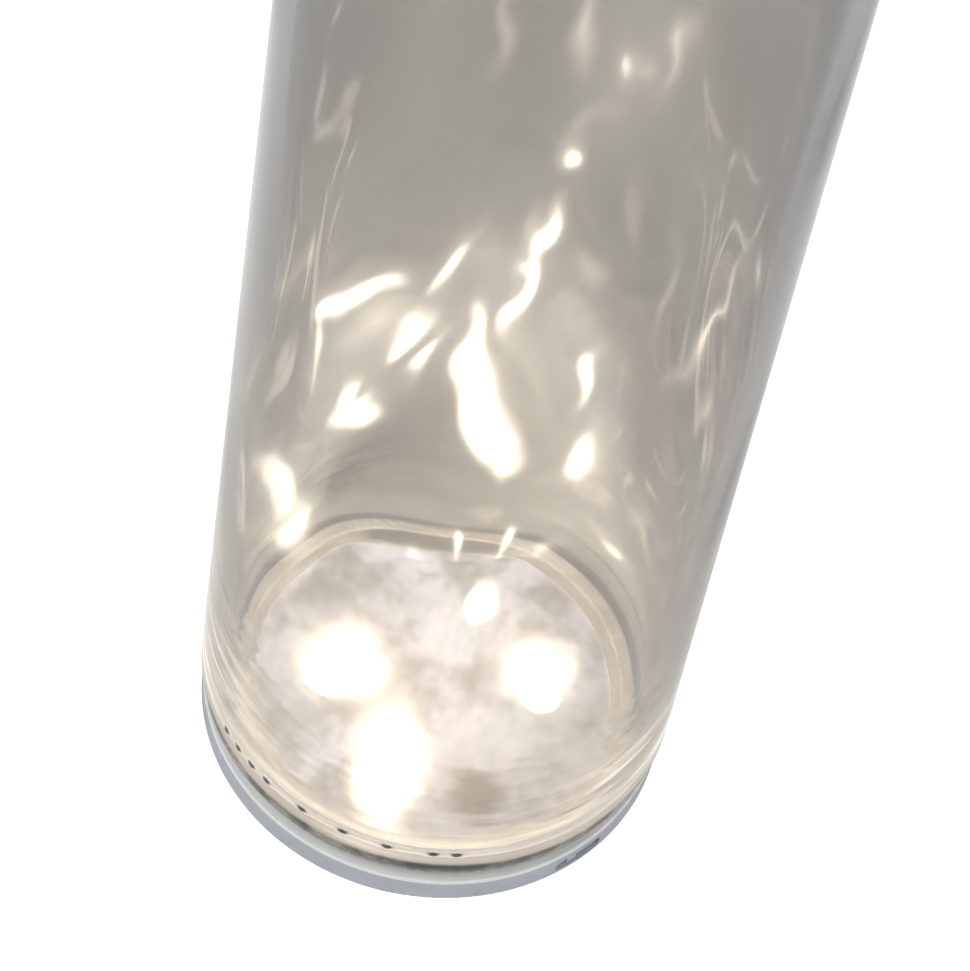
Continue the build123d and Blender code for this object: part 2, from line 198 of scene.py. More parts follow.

# Glass: tints seen face on and edge on, the foot's tints warmer and paler as painted light from the disc, its
# painted light, and heights over the floor or the bottle's foot (metres)
EDGE_ON = (0.42, 0.86)
BODY_TINTS = ((0.63, 0.616, 0.59, 1), (0.33, 0.32, 0.302, 1))
NECK_TINTS = ((0.76, 0.75, 0.74, 1), (0.42, 0.415, 0.41, 1))
FOOT_TINTS = ((0.76, 0.73, 0.675, 1), (0.24, 0.22, 0.19, 1))
NECK_START = (0.15, 0.20)
GLASS_ABSORB = (0.5, 0.488, 0.47, 1)
GLASS_DENSITY = 200.0
GLASS_LIGHT = (1.0, 0.89, 0.76)
LIGHT_END = (0.02, 0.13)
LIGHT_LEVEL = 0.045
HAZE_GLOW_LEVEL = 0.05
LIP_LEVEL = 0.28
HEEL_LEVEL = 0.22
HEEL_START = (0.0038, 0.0056)
HEEL_END = (0.0080, 0.0120)
LOW_START = (0.009, 0.015)
LOW_END = (0.012, 0.038)
# Painted shade at the foot: heights of the dark notched line, its notch depth and its colour, also used on
# the mould dots
LINE_START = (0.0022, 0.0030)
LINE_END = (0.0044, 0.0060)
LINE_NOTCH = 0.0007
LINE_COLOUR = (0.004, 0.003, 0.0015, 1)

# Disc: where its cover stops being lit, from the middle (metres)
LIT_END = (0.0272, 0.0283)

# Studio: light seen straight, through glass and mirrored; lamps as place, size and power; camera
FLOOR_SIZE = 6.0
FLOOR_SEEN = (0.6, 0.4, 0.1)
WORLD_LIGHT = 0.5
WORLD_SEEN = (1.0 - WORLD_LIGHT, 1.0 - WORLD_LIGHT, 0.1)
LAMP_TARGET = (0, 0, 0.1)
LAMPS = {
    "key": ((-0.7, -0.5, 1.1), (0.8, 0.8), 11.0),
    "fill": ((0.9, -0.3, 0.7), (0.7, 0.9), 5.0),
}
CAMERA_TURNS = (54.36, 0.27, -11.52)
CAMERA_PLACE = (0, -0.28208, 0.44211)
CAMERA_LENS = 148.88
CAMERA_SENSOR = 36.0

BLACK = (0.0, 0.0, 0.0, 1.0)


class Paint:
    """A socket in a node tree: arithmetic on it adds Math nodes, and node() adds any other node."""

    def __init__(self, tree, socket=None):
        self.tree = tree
        self.socket = socket

    def node(self, kind, settings=None, inputs=None, out=0):
        made = self.tree.nodes.new(kind)
        for name, value in (settings or {}).items():
            setattr(made, name, value)
        for key, value in (inputs or {}).items():
            if isinstance(value, Paint):
                self.tree.links.new(value.socket, made.inputs[key])
            else:
                made.inputs[key].default_value = value
        return Paint(self.tree, made.outputs[out])

    def math(self, operation, *values):
        return self.node("ShaderNodeMath", {"operation": operation}, dict(enumerate(values)))

    def vector(self, operation, *values, out=0):
        return self.node("ShaderNodeVectorMath", {"operation": operation}, dict(enumerate(values)), out)

    def __add__(self, other):
        return self.math("ADD", self, other)

    def __sub__(self, other):
        return self.math("SUBTRACT", self, other)

    def __rsub__(self, other):
        return self.math("SUBTRACT", other, self)

    def __mul__(self, other):
        return self.math("MULTIPLY", self, other)

    def __pow__(self, other):
        return self.math("POWER", self, other)

    def smooth(self, start, end, low=0.0, high=1.0):
        """Smooth step: low before start, high after end."""
        return self.node(
            "ShaderNodeMapRange",
            {"interpolation_type": "SMOOTHSTEP"},
            {"Value": self, "From Min": start, "From Max": end, "To Min": low, "To Max": high},
        )

    def mix(self, first, second):
        """Colour between first and second, with this socket as the factor."""
        inputs = {"Factor": self, 6: first, 7: second}
        return self.node("ShaderNodeMix", {"data_type": "RGBA"}, inputs, out=2)

    def tint(self, colour):
        """A colour scaled by this socket, which may be over 1."""
        return self.vector("SCALE", colour[:3]).scaled(self)

    def scaled(self, factor):
        self.tree.links.new(factor.socket, self.socket.node.inputs["Scale"])
        return self

    def axes(self):
        """The three parts of a vector."""
        split = self.node("ShaderNodeSeparateXYZ", None, {0: self}).socket.node
        return [Paint(self.tree, part) for part in split.outputs]


def rgb(red, green, blue):
    """Colour given in display values, 0 to 255, as linear light."""
    c = np.array([red, green, blue]) / 255
    return (*np.where(c <= 0.04045, c / 12.92, ((c + 0.055) / 1.055) ** 2.4).tolist(), 1.0)


def warm(level, green, blue):
    """Light of the cover at a level, its power taken out, with green and blue as shares of red."""
    level = level / COVER_POWER
    return (level, level * green, level * blue, 1.0)


class Finish:
    """A material with one Principled shader; constants go straight on its sockets."""

    def __init__(self, name, **constants):
        self.material = bpy.data.materials.new(name)
        self.material.use_nodes = True
        self.tree = self.material.node_tree
        self.shader = self.tree.nodes["Principled BSDF"]
        self.paint = Paint(self.tree)
        for socket, value in constants.items():
            self.shader.inputs[socket.replace("_", " ")].default_value = value
        self.place = self.paint.node("ShaderNodeTexCoord", out=3)

    def set(self, socket, value):
        self.tree.links.new(value.socket, self.shader.inputs[socket])

    def stretched(self, stretch):
        return self.paint.node("ShaderNodeMapping", None, {"Vector": self.place, "Scale": stretch})

    def noise(self, scale, detail=2.0, roughness=0.5, place=None, out=0):
        inputs = {"Vector": place or self.place, "Scale": scale, "Detail": detail, "Roughness": roughness}
        return self.paint.node("ShaderNodeTexNoise", None, inputs, out)

    def cells(self, scale):
        return self.paint.node("ShaderNodeTexVoronoi", None, {"Vector": self.place, "Scale": scale})

    def radius(self, x, y):
        return (x * x + y * y) ** 0.5

    def own(self, name):
        """The piece's own attribute: mark for the cork's pits, glow for the painted light in the glass."""
        return self.paint.node("ShaderNodeAttribute", {"attribute_name": name}, None, out=2)

    def wandering(self, scale, reach, detail=2.0):
        """Object coordinates pushed about by soft noise, by up to half of reach."""
        push = self.noise(scale, detail, out=1)
        half = (-reach / 2, -reach / 2, -reach / 2)
        push = push.vector("MULTIPLY_ADD", push, (reach, reach, reach), half)
        return push.vector("ADD", push, self.place)

    def blob(self, place, middle, turn, sizes):
        """Bell curve exp(-d.d), with d the way from the middle in turned axes, divided by sizes."""
        inputs = {"Vector": place, "Location": middle, "Rotation": turn, "Scale": sizes}
        away = self.paint.node("ShaderNodeMapping", {"vector_type": "TEXTURE"}, inputs)
        square = away.vector("DOT_PRODUCT", away, away, out=1)
        return square.math("POWER", float(np.exp(-1)), square)

    def bump(self, height, distance):
        inputs = {"Height": height, "Distance": distance, "Strength": 1.0}
        self.set("Normal", self.paint.node("ShaderNodeBump", None, inputs))

    def dress(self, *objects):
        for piece in objects:
            piece.data.materials.clear()
            piece.data.materials.append(self.material)


def arc(centre, radius, start, end, count):
    """Points on a circle about centre from one angle to another, in degrees."""
    turn = np.radians(np.linspace(start, end, count))
    return np.stack([centre[0] + radius * np.cos(turn), centre[1] + radius * np.sin(turn)], 1)


def run(start, end, count):
    """Points evenly spaced on a straight line."""
    return np.linspace(start, end, count)


def ease(value, start, end):
    """Smooth step from 0 at start to 1 at end."""
    x = np.clip((value - start) / (end - start), 0, 1)
    return x * x * (3 - 2 * x)


def lathe(name, profile, inside, count, shift):
    """Closed surface of revolution: profile point (r, z) at turn t goes to (r cos t, r sin t, z).
    The profile starts and ends on the axis; shift(r, z, t, inside) returns small changes of r and z, and
    the values that the piece keeps as attributes."""
    turn = np.linspace(0, 2 * np.pi, count, endpoint=False)
    r, t = np.meshgrid(profile[1:-1, 0], turn, indexing="ij")
    z = np.repeat(profile[1:-1, 1:2], count, axis=1)
    dr, dz, kept = shift(r, z, t, inside[1:-1, None])
    r = r + dr
    z = z + dz
    ring = np.stack([r * np.cos(t), r * np.sin(t), z], -1).reshape(-1, 3)
    points = np.concatenate([[[0, 0, profile[0, 1]]], ring, [[0, 0, profile[-1, 1]]]])
    rows = len(profile) - 2
    i, j = np.meshgrid(np.arange(rows - 1), np.arange(count), indexing="ij")
    a = 1 + i * count + j
    b = 1 + i * count + (j + 1) % count
    quads = np.stack([a, b, b + count, a + count], -1).reshape(-1, 4)
    k = np.arange(count)
    first = np.stack([np.zeros(count, int), 1 + (k + 1) % count, 1 + k], -1)
    end = 1 + (rows - 1) * count
    last = np.stack([np.full(count, len(points) - 1), end + k, end + (k + 1) % count], -1)
    mesh = bpy.data.meshes.new(name)
    mesh.from_pydata(points.tolist(), [], quads.tolist() + first.tolist() + last.tolist())
    mesh.polygons.foreach_set("use_smooth", np.ones(len(mesh.polygons), bool))
    for label, values in kept.items():
        values = np.concatenate([[0], values.ravel(), [0]]).astype(np.float32)
        mesh.attributes.new(label, "FLOAT", "POINT").data.foreach_set("value", values)
    mesh.update()
    piece = bpy.data.objects.new(name, mesh)
    scene.collection.objects.link(piece)
    return piece


def bottle_profile():
    """Bottle outline as (r, z): push-up dome, bearing land, heel, wall, shoulder, neck and finish outside,
    then mouth, neck, shoulder, wall, inner heel and floor dome inside. Also says which points are inside."""
    dome = (BEARING_IN**2 + PUSH_UP**2) / (2 * PUSH_UP)
    dome_z = PUSH_UP - dome
    dome_end = np.degrees(np.arccos(BEARING_IN / dome))
    floor = dome + BASE
    heel_z = dome_z + np.sqrt((floor + INNER_HEEL) ** 2 - FLOOR_EDGE**2)
    floor_end = np.degrees(np.arccos(FLOOR_EDGE / (floor + INNER_HEEL)))
    shoulder_r = BODY_RADIUS - SHOULDER
    neck_r = NECK + NECK_ROOT
    reach = SHOULDER + NECK_ROOT
    neck_z = BODY_HEIGHT + np.sqrt(reach**2 - (neck_r - shoulder_r) ** 2)
    sweep = np.degrees(np.arccos((neck_r - shoulder_r) / reach))
    neck_inner = NECK - BOTTLE_WALL
    finish_z = neck_z + NECK_HEIGHT
    slope = FINISH - NECK
    top = finish_z + FINISH_HEIGHT
    dots_end = DOT_UP + 5 * DOT_WIDTH
    outer = [
        arc((0, dome_z), dome, 90, dome_end, 14),
        run((BEARING_IN, 0), (BEARING_OUT, 0), 6)[1:-1],
        arc((BEARING_OUT, HEEL), HEEL, -90, 0, 18),
        run((BODY_RADIUS, HEEL), (BODY_RADIUS, dots_end), 26)[1:-1],
        run((BODY_RADIUS, dots_end), (BODY_RADIUS, BODY_HEIGHT), 26)[:-1],
        arc((shoulder_r, BODY_HEIGHT), SHOULDER, 0, sweep, 12),
        arc((neck_r, neck_z), NECK_ROOT, 180 + sweep, 180, 10)[1:],
        run((NECK, neck_z), (NECK, finish_z), 6)[1:-1],
        run((NECK, finish_z), (FINISH, finish_z + slope), 3),
        run((FINISH, finish_z + slope), (FINISH, top - LIP), 5)[1:-1],
        arc((FINISH - LIP, top - LIP), LIP, 0, 90, 6),
    ]
    inner = [
        arc((MOUTH + MOUTH_EDGE, top - MOUTH_EDGE), MOUTH_EDGE, 90, 180, 5),
        run((MOUTH, top - MOUTH_EDGE), (MOUTH, top - MOUTH_DEPTH), 6)[1:-1],
        run((MOUTH, top - MOUTH_DEPTH), (neck_inner, top - MOUTH_DEPTH - MOUTH_FLARE), 3),
        run((neck_inner, top - MOUTH_DEPTH - MOUTH_FLARE), (neck_inner, neck_z), 6)[1:-1],
        arc((neck_r, neck_z), NECK_ROOT + BOTTLE_WALL, 180, 180 + sweep, 10),
        arc((shoulder_r, BODY_HEIGHT), SHOULDER - BOTTLE_WALL, sweep, 0, 10)[1:],
        run((INNER_RADIUS, BODY_HEIGHT), (INNER_RADIUS, UNEVEN_TOP), 14)[1:-1],
        run((INNER_RADIUS, UNEVEN_TOP), (INNER_RADIUS, heel_z), 112)[:-1],
        arc((FLOOR_EDGE, heel_z), INNER_HEEL, 0, floor_end - 180, 14),
        arc((0, dome_z), floor, floor_end, 90, 16)[1:],
    ]
    outer = np.concatenate(outer)
    inner = np.concatenate(inner)
    points = np.concatenate([outer, inner])
    points[:, 1] += BOTTLE_FOOT
    return points, np.arange(len(points)) >= len(outer)


def wrapped(turn):
    """A turn brought to between minus half and plus half a round."""
    return np.mod(turn + np.pi, 2 * np.pi) - np.pi


def painted_glints(z, t):
    """Painted light in the wall at height z and turn t, glints and haze standing in for reflections of the
    sources: a sum of bell curves exp(-a a - b b), each in its own leaning axes, over places pushed about by
    seeded waves so that the edges are wispy."""
    seed = np.random.RandomState(WISP_SEED)
    push_u = np.zeros_like(z)
    push_z = np.zeros_like(z)
    for push in (push_u, push_z):
        for _ in range(WISP_COUNT):
            round_count = seed.randint(*WISP_ROUNDS)
            along = seed.uniform(*WISP_ALONG)
            push += WISP_REACH * np.cos(round_count * t + along * z + seed.uniform(*PHASES))
    light = np.zeros_like(z)
    for turn, height, width, length, lean, level in GLINTS.values():
        du = INNER_RADIUS * wrapped(t - np.radians(turn)) + push_u
        dz = z - 0.001 * height + push_z
        lean = np.radians(lean)
        a = (du * np.cos(lean) + dz * np.sin(lean)) / (0.001 * width)
        b = (dz * np.cos(lean) - du * np.sin(lean)) / (0.001 * length)
        light += level * np.exp(-a * a - b * b)
    return light


def uneven_glass(r, z, t, inside):
    """Changes of r and z that make turned glass look blown, and the painted light (glints and haze) in it.
    Waves cos(n t + m z + p), seeded, run over the wall, strong inside and at the back. Glass gathered at the
    back moves the floor's far edge to the shallow curve y = place + tilt x + bend x x. Ridges cos(n t) notch
    the foot, and a row of mould dots, flat bell curves in t and z, stands out low on the wall."""
    up = z - BOTTLE_FOOT
    seed = np.random.RandomState(WAVE_SEED)
    wave = np.zeros_like(r)
    for _ in range(WAVE_COUNT):
        round_count = seed.randint(*WAVE_ROUNDS)
        along = seed.uniform(*WAVE_ALONG)
        slope = np.hypot(along, round_count / BODY_RADIUS)
        wave += np.cos(round_count * t + seed.choice([-1, 1]) * along * up + seed.uniform(*PHASES)) / slope
    wall = ease(up, *WAVE_START) * ease(BODY_HEIGHT - up, 0, WAVE_END)
    back = FRONT_SHARE + (1 - FRONT_SHARE) * ease(np.sin(t), *BACK_SIDE)
    dr = np.where(inside, INNER_SLOPE, OUTER_SLOPE) * wall * back * wave
    lean = np.maximum(np.sin(t) - CHORD_TILT * np.cos(t), CHORD_LEAN)
    root = np.sqrt(np.maximum(lean**2 - 4 * CHORD_BEND * CHORD_PLACE * np.cos(t) ** 2, 0))
    short = FLOOR_EDGE - 2 * CHORD_PLACE / (lean + root)
    gathered = 0.5 * (short + np.hypot(short, CHORD_SOFT)) * (np.sin(t) > 0)
    dr -= inside * gathered * ease(r, GATHER_IN, FLOOR_EDGE) * ease(GATHER_TOP - up, 0, GATHER_TOP - HEEL)
    foot = ease(r, BEARING_OUT - RIDGE_IN, BEARING_OUT) * ease(BEARING_OUT + RIDGE_OUT - r, 0, RIDGE_FADE)
    foot = foot * (up < HEEL / 2)
    dz = ~inside * foot * RIDGE_DEPTH * (0.5 + 0.5 * np.cos(RIDGES * t))
    for place in DOT_PLACES:
        turn = np.radians(DOT_START + DOT_STEP * place)
        square = (BODY_RADIUS * wrapped(t - turn)) ** 2 + (up - DOT_UP) ** 2
        dr = dr + ~inside * DOT_HEIGHT * np.exp(-((square / DOT_WIDTH**2) ** 2))
    on_wall = inside & (r > FLOOR_EDGE) & (up < BODY_HEIGHT)
    return dr, dz, {"glow": on_wall * painted_glints(z, t)}


def cork_profile():
    """Tapered plug with chamfered ends, as (r, z) from the axis below to the axis above."""
    slope = np.tan(np.radians(CORK_TAPER))
    height = cork_high[2] - cork_low[2]
    edge = CORK_CHAMFER
    low = CORK_RADIUS + edge * slope - height * slope
    points = [
        run((0, 0), (low - edge, 0), 8),
        run((low - edge, 0), (low + edge * slope, edge), 3)[1:],
        run((low + edge * slope, edge), (CORK_RADIUS, height - edge), 70)[1:],
        run((CORK_RADIUS, height - edge), (CORK_RADIUS - edge, height), 3)[1:],
        run((CORK_RADIUS - edge, height), (0, height), 8)[1:],
    ]
    points = np.concatenate(points)
    points[:, 1] += cork_low[2]
    return points, np.zeros(len(points), bool)


def cork_pits(r, z, t, inside):
    """Seeded pits in the cork's side: each a flat bell curve in turn and height that goes in by up to
    PIT_DEPTH."""
    seed = np.random.RandomState(PIT_SEED)
    depth = np.zeros_like(r)
    for _ in range(PIT_COUNT):
        turn = seed.uniform(-np.pi, np.pi)
        height = seed.uniform(cork_low[2] + PIT_MARGIN, cork_high[2] - PIT_MARGIN)
        width = seed.uniform(*PIT_WIDTHS)
        rise = seed.uniform(*PIT_RISES)
        pit = np.exp(-(((r * wrapped(t - turn) / width) ** 2 + ((z - height) / rise) ** 2) ** 2))
        depth = np.maximum(depth, pit * seed.uniform(*PIT_LEVELS))
    return -PIT_DEPTH * depth, np.zeros_like(r), {"mark": depth}


def clear_glass():
    """Glass that is greyer towards the top, warmer and paler some way up from its foot with painted warm
    light from the disc: painted soft streaks of light round its lower wall, painted glints and haze on the
    uneven back wall standing in for reflections of the sources, painted light at the lip as if led up in the
    wall, and painted shade as a dark notched line at the foot and dark mould dots."""
    glass = Finish("clear_glass", IOR=1.5, Transmission_Weight=1.0, Emission_Strength=1.0)
    x, y, z = glass.place.axes()
    lit = z.smooth(*LIGHT_END, 1.0, 0.0)
    edge = glass.paint.node("ShaderNodeLayerWeight", None, {"Blend": 0.5}, out=1).smooth(*EDGE_ON)
    body = edge.mix(*BODY_TINTS)
    neck = edge.mix(*NECK_TINTS)
    foot = edge.mix(*FOOT_TINTS)
    clear = lit.mix(z.smooth(*NECK_START).mix(body, neck), foot)
    up = z - BOTTLE_FOOT
    turn = x.math("ARCTAN2", y, x)
    # Painted shade: a dark notched line at the foot where the glass sits on the disc, patchy and fading
    # towards the back, and dark mould dots
    notch = turn.math("COSINE", turn * RIDGES) * LINE_NOTCH
    front = y.smooth(-0.012, 0.004, 1.0, 0.15)
    patchy_shade = glass.noise(190.0, 3.0, 0.6).smooth(0.30, 0.65, 0.30, 0.70) * front
    dark = (up + notch).smooth(*LINE_START) * up.smooth(*LINE_END, 1.0, 0.0) * patchy_shade
    dark = dark * glass.radius(x, y).smooth(BEARING_OUT, BEARING_OUT + 0.0004)
    for place in DOT_PLACES:
        turn = np.radians(DOT_START + DOT_STEP * place)
        middle = (BODY_RADIUS * np.cos(turn), BODY_RADIUS * np.sin(turn), BOTTLE_FOOT + DOT_UP)
        sizes = (2 * DOT_WIDTH, 1.1 * DOT_WIDTH, 0.8 * DOT_WIDTH)
        dark = dark + glass.blob(glass.place, middle, (0, 0, turn), sizes)
    dark = dark.smooth(0.15, 0.65)
    glass.set("Base Color", dark.mix(clear, LINE_COLOUR))
    light = glass.own("glow")
    light = light * 0.5 + light.smooth(0.9, 2.4) * 1.7
    # Painted light in the glass: soft streaks round the lower wall, strongest at the sides, a glow at the
    # heel, warm light low in the glass and light at the lip
    low = z.smooth(*LOW_START) * z.smooth(*LOW_END, 1.0, 0.0)
    heel = up.smooth(*HEEL_START) * up.smooth(*HEEL_END, HEEL_LEVEL, 0.0)
    sides = (x * x).smooth(0.2 * BODY_RADIUS**2, 0.8 * BODY_RADIUS**2, 0.15, 1.0)
    streaks = glass.noise(1.0, 2.0, place=glass.stretched((60, 60, 480))).smooth(0.53, 0.68)
    lip = z.smooth(bottle_high[2] - LIP, bottle_high[2] - 0.1 * LIP, 0.0, LIP_LEVEL)
    glow = low * sides * (streaks * 0.42 + 0.09) + heel + lit * LIGHT_LEVEL + lip
    # Painted haze of warm light in the lower glass
    haze_glow = glass.noise(75.0, 3.0, 0.6).smooth(0.45, 0.75) * lit * HAZE_GLOW_LEVEL
    glass.set("Emission Color", ((light + glow + haze_glow) * (1.0 - dark)).tint(GLASS_LIGHT))
    glass.set("Roughness", z.smooth(0.0095, 0.0135, 0.18, 0.0))
    ripples = glass.noise(1.0, 1.0, place=glass.stretched((50, 50, 330)))
    ripples = ripples * z.smooth(0.012, 0.045, 1.0, 0.0) * y.smooth(-0.004, 0.012, 1.0, 0.3)
    glass.bump(ripples, 0.00012)
    absorb = {"Color": GLASS_ABSORB, "Density": GLASS_DENSITY}
    absorb = glass.paint.node("ShaderNodeVolumeAbsorption", None, absorb)
    glass.tree.links.new(absorb.socket, glass.tree.nodes["Material Output"].inputs["Volume"])
    return glass


def source_light(finish):
    """Light of the four sources over the disc: bell curves with their edges pushed about by soft noise."""
    wisps = finish.wandering(170.0, 0.005, 3.0)
    light = None
    for x, y, half_x, half_y in SPOTS.values():
        sizes = (0.001 * half_x, 0.001 * half_y, 1.0)
        spot = finish.blob(wisps, (0.001 * x, 0.001 * y, 0), (0, 0, 0), sizes)
        light = spot if light is None else light + spot
    return light


def moulded(finish, colour, dark):
    """Pale moulded plastic: a faint flow pattern, small specks of dirt, scuffed edges and a fine grain."""
    x, y, _ = finish.place.axes()
    flow = finish.noise(220.0, 3.0, 0.6).smooth(0.3, 0.7)
    speck = finish.cells(420.0).smooth(0.05, 0.11, 1.0, 0.0) * finish.noise(90.0, 2.0).smooth(0.58, 0.66)
    scuff = finish.noise(600.0, 4.0, 0.7).smooth(0.56, 0.68)
    scuff = scuff * finish.radius(x, y).smooth(DISC_RADIUS - 0.0008, DISC_RADIUS)
    finish.set("Roughness", flow * 0.14 + scuff * 0.15 + 0.40)
    finish.bump(finish.noise(2600.0, 2.0) + scuff * 0.6, 0.00003)
    shade = flow.mix(colour, tuple(0.93 * part for part in colour[:3]) + (1.0,))
    return (speck * 0.8 + scuff * 0.16).mix(shade, dark)


def shell_plastic():
    """Plain pale plastic of the shell and its doors."""
    plastic = Finish("moulded_plastic")
    plastic.set("Base Color", moulded(plastic, rgb(168, 173, 180), rgb(92, 92, 96)))
    return plastic


def cover_plastic():
    """Cover of the disc: plain plastic on its rim, glowing under the bottle with painted light of the
    sources, patchy, dimmer towards the front right, with a dimmer, browner spot.
    """
    cover = Finish("lit_cover", Emission_Strength=COVER_POWER)
    cover.set("Base Color", moulded(cover, rgb(218, 221, 221), rgb(110, 106, 98)))
    x, y, _ = cover.place.axes()
    patch = cover.noise(130.0, 3.0, 0.6).smooth(0.38, 0.62)
    shade = (x * 0.8 - y).smooth(0.004, 0.026)
    pale = shade.mix(warm(2.6, 1.0, 1.18), warm(1.6, 0.97, 1.05))
    dull = shade.mix(warm(1.25, 0.95, 1.01), warm(0.85, 0.92, 0.90))
    base = patch.mix(dull, pale)
    grain = cover.noise(1.0, 3.0, 0.7, place=cover.stretched((900, 350, 350))).smooth(0.4, 0.75)
    base = (grain * 0.3).mix(base, warm(0.6, 0.86, 0.70))
    # A dimmer, browner spot in the cover's light, with a noisy edge
    spot = cover.radius(x - DIM_SPOT[0], y - DIM_SPOT[1]) + (cover.noise(260.0, 2.0) - 0.5) * 0.0024
    base = spot.smooth(0.0018, 0.0052, 0.95, 0.0).mix(base, warm(0.40, 0.74, 0.52))
    light = source_light(cover)
    base = light.smooth(0.05, 0.5, 0.0, 0.6).mix(base, warm(2.6, 0.93, 0.87))
    reach = cover.radius(x, y).smooth(*LIT_END, 1.0, 0.0)
    hot = light.smooth(0.14, 0.98).mix(base, (1.0, 0.96, 0.92, 1))
    cover.set("Emission Color", reach.mix(BLACK, hot))
    return cover


def lens_plastic():
    """Clear lens, lit from below with the same light as the cover round it."""
    lens = Finish(
        "lens_plastic", Base_Color=(1, 0.97, 0.9, 1), Roughness=0.25, Emission_Strength=COVER_POWER
    )
    light = source_light(lens).smooth(0.0, 0.5, 0.35, 1.0)
    lens.set("Emission Color", light.mix(BLACK, (1.0, 0.95, 0.86, 1)))
    return lens


def tacky_gel():
    """Cloudy gel with small bubbles, lit from the cover below it."""
    gel = Finish("tacky_gel", Emission_Strength=1.15, Transmission_Weight=0.2)
    cloud = gel.noise(240.0, 3.0, 0.6).smooth(0.3, 0.7)
    bubble = gel.cells(900.0).smooth(0.10, 0.20, 1.0, 0.0)
    gel.set("Base Color", cloud.mix(rgb(228, 226, 220), rgb(208, 204, 194)))
    gel.set("Emission Color", cloud.mix((1.0, 0.92, 0.85, 1), (0.8, 0.72, 0.64, 1)))
    gel.set("Roughness", cloud * 0.2 + 0.25)
    gel.bump(bubble + cloud * 0.5, 0.00004)
    return gel


def phosphor_fill():
    """Yellow phosphor grains in clear resin, glowing."""
    fill = Finish("phosphor", Roughness=0.35, Emission_Strength=8.0)
    grain = fill.noise(5200.0, 3.0, 0.7).smooth(0.3, 0.7)
    fill.set("Base Color", grain.mix((0.95, 0.75, 0.25, 1), (0.85, 0.55, 0.12, 1)))
    fill.set("Emission Color", grain.mix((1.0, 0.88, 0.66, 1), (1.0, 0.78, 0.45, 1)))
    fill.bump(grain, 0.00003)
    return fill


def worn_metal(name, colour, dull, stretch):
    """Pressed sheet metal: rolling lines, fine scratches and slightly dull patches."""
    metal = Finish(name, Metallic=1.0)
    lines = metal.noise(1.0, 3.0, 0.6, place=metal.stretched(stretch))
    patches = metal.noise(260.0, 3.0, 0.6).smooth(0.35, 0.7)
    scratch = metal.noise(1.0, 2.0, place=metal.stretched((4200, 300, 300))).smooth(0.64, 0.70)
    metal.set("Base Color", (patches * 0.7 + scratch * 0.3).mix(colour, dull))
    metal.set("Roughness", lines * 0.18 + patches * 0.14 + 0.16)
    metal.bump(lines + scratch * 0.7, 0.00001)
    return metal


def dark_plastic(name, colour, pale):
    """Moulded dark plastic with a fine spark-eroded grain and pale rubbed spots."""
    plastic = Finish(name)
    grain = plastic.noise(3400.0, 3.0, 0.7)
    rubbed = plastic.noise(420.0, 4.0, 0.65).smooth(0.55, 0.75)
    plastic.set("Base Color", (rubbed * 0.6).mix(colour, pale))
    plastic.set("Roughness", grain * 0.25 + 0.35 - rubbed * 0.1)
    plastic.bump(grain, 0.00003)
    return plastic


def board_mask():
    """White solder mask over glass cloth: the weave shows as a faint grid, with a little staining."""
    board = Finish("board_mask")
    weave = board.paint.node("ShaderNodeTexChecker", None, {"Vector": board.place, "Scale": 1700.0}, out=1)
    stain = board.noise(140.0, 4.0, 0.65).smooth(0.55, 0.75)
    board.set("Base Color", (stain * 0.5 + weave * 0.06).mix(rgb(226, 228, 222), rgb(196, 184, 150)))
    board.set("Roughness", stain * 0.25 + 0.3)
    board.bump(weave + board.noise(900.0, 2.0), 0.00001)
    return board


def natural_cork():
    """Bark cork: tan with darker growth bands, dark pits where the piece is marked, pale crumbs and grain."""
    bark = Finish("cork_bark")
    band = bark.noise(1.0, 3.0, 0.6, place=bark.stretched((120, 320, 90))).smooth(0.3, 0.7)
    crumb = bark.noise(900.0, 4.0, 0.7)
    crack = bark.noise(1.0, 4.0, 0.7, place=bark.stretched((500, 500, 1500))).smooth(0.60, 0.68)
    tan = band.mix(rgb(205, 168, 120), rgb(172, 130, 84))
    tan = crumb.smooth(0.35, 0.75).mix(tan, rgb(216, 184, 140))
    tan = (crack * 0.7).mix(tan, rgb(120, 82, 50))
    bark.set("Base Color", bark.own("mark").smooth(0.1, 0.6).mix(tan, rgb(74, 48, 30)))
    bark.set("Roughness", crumb * 0.2 + 0.72)
    bark.bump(crumb - crack, 0.00012)
    return bark


def numbered(names, count):
    """The nodes of a group, name by name and number by number."""
    return [nodes[f"{name}_{n}"] for name in names for n in range(1, count + 1)]


bottle = lathe("bottle_glass", *bottle_profile(), TURNS, uneven_glass)
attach(bottle, "bottle")
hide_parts("glass_bottle")
clear_glass().dress(bottle)

stopper = lathe("cork_stopper", *cork_profile(), CORK_TURNS, cork_pits)
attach(stopper, "cork")
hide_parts("cork")
natural_cork().dress(stopper)

shell_plastic().dress(nodes["base_shell"], *numbered(["battery_door"], 2))
cover_plastic().dress(nodes["top_cover"])
lens_plastic().dress(*numbered(["lens"], 4))
tacky_gel().dress(nodes["adhesive_ring"])
phosphor_fill().dress(*numbered(["led_phosphor"], 4))
worn_metal("cell_steel", (0.72, 0.72, 0.70, 1), (0.5, 0.5, 0.49, 1), (300, 300, 2600)).dress(
    *numbered(["cell_can", "cell_cap"], 2), nodes["switch_case"]
)
worn_metal("contact_metal", (0.80, 0.70, 0.44, 1), (0.58, 0.46, 0.24, 1), (2200, 260, 260)).dress(
    *numbered(["positive_contact", "negative_contact"], 2), nodes["switch_terminals"]
)
dark_plastic("dark_plastic", rgb(38, 38, 40), rgb(78, 78, 80)).dress(
    nodes["resistors"], *numbered(["cell_gasket"], 2)
)
dark_plastic("knob_plastic", rgb(170, 175, 182), rgb(190, 194, 198)).dress(nodes["switch_knob"])
board_mask().dress(nodes["circuit_board"], *numbered(["led_case"], 4))


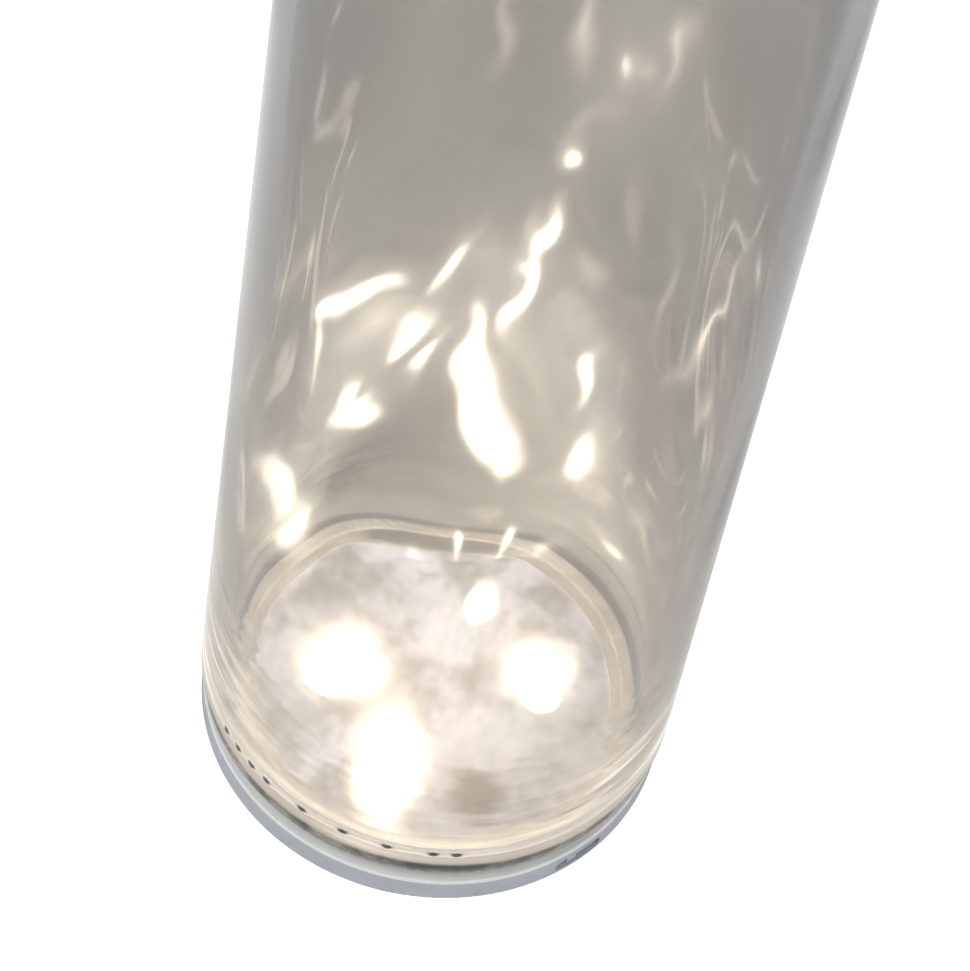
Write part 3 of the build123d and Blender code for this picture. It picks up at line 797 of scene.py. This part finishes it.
def seen_rays(tree, straight, through, mirrored):
    """Levels for rays that come straight from the camera, through glass and by way of a mirrored surface,
    else 0. Rays through glass count as glossy too, so the larger level holds for them."""
    rays = Paint(tree).node("ShaderNodeLightPath").socket.node.outputs
    let_through = Paint(tree, rays["Is Transmission Ray"]) * through
    turned = let_through.math("MAXIMUM", let_through, Paint(tree, rays["Is Glossy Ray"]) * mirrored)
    return Paint(tree, rays["Is Camera Ray"]) * straight + turned


# Floor, lamps and world
bpy.ops.mesh.primitive_plane_add(size=FLOOR_SIZE)
floor = bpy.context.object
floor.name = "floor"
ground = Finish(
    "floor_white",
    Base_Color=(0.8, 0.8, 0.8, 1),
    Roughness=0.9,
    Specular_IOR_Level=0.0,
    Emission_Strength=1.0,
)
ground.set("Emission Color", seen_rays(ground.tree, *FLOOR_SEEN).tint((1, 1, 1)))
ground.dress(floor)

world = bpy.data.worlds.new("studio")
scene.world = world
world.use_nodes = True
sky = world.node_tree.nodes["Background"]
sky.inputs["Color"].default_value = (1, 1, 1, 1)
sky_level = seen_rays(world.node_tree, *WORLD_SEEN) + WORLD_LIGHT
world.node_tree.links.new(sky_level.socket, sky.inputs["Strength"])


def placed(columns, place):
    """Matrix with the given axes as columns at a place."""
    return Matrix([[*row, at] for row, at in zip(columns.tolist(), place)] + [[0, 0, 0, 1]])


def softbox(name, place, target, size, power):
    """Rectangular area lamp at a place, facing a target."""
    data = bpy.data.lights.new(name, "AREA")
    data.shape = "RECTANGLE"
    data.size, data.size_y = size
    data.energy = power
    lamp = bpy.data.objects.new(name, data)
    scene.collection.objects.link(lamp)
    back = np.subtract(place, target)
    back = back / np.linalg.norm(back)
    side = np.cross((0, 0, 1), back)
    side /= np.linalg.norm(side)
    lamp.matrix_world = placed(np.stack([side, np.cross(back, side), back], 1), place)


for name, (place, size, power) in LAMPS.items():
    softbox(name, place, LAMP_TARGET, size, power)

# Camera fitted to the outline in the photo
pitch, yaw, roll = np.radians(CAMERA_TURNS)
forward = np.array([np.sin(yaw) * np.cos(pitch), np.cos(yaw) * np.cos(pitch), -np.sin(pitch)])
right = np.array([np.cos(yaw), -np.sin(yaw), 0])
down = np.cross(forward, right)
across = np.cos(roll) * right + np.sin(roll) * down
below = np.cos(roll) * down - np.sin(roll) * right
lens_data = bpy.data.cameras.new("camera")
lens_data.lens = CAMERA_LENS
lens_data.sensor_width = CAMERA_SENSOR
camera = bpy.data.objects.new("camera", lens_data)
scene.collection.objects.link(camera)
camera.matrix_world = placed(np.stack([across, -below, -forward], 1), CAMERA_PLACE)
scene.camera = camera

# Enough bounces for light to pass through several walls of glass, with bright sources left unclipped
scene.cycles.max_bounces = 24
scene.cycles.transmission_bounces = 24
scene.cycles.glossy_bounces = 8
scene.cycles.sample_clamp_indirect = 0.0
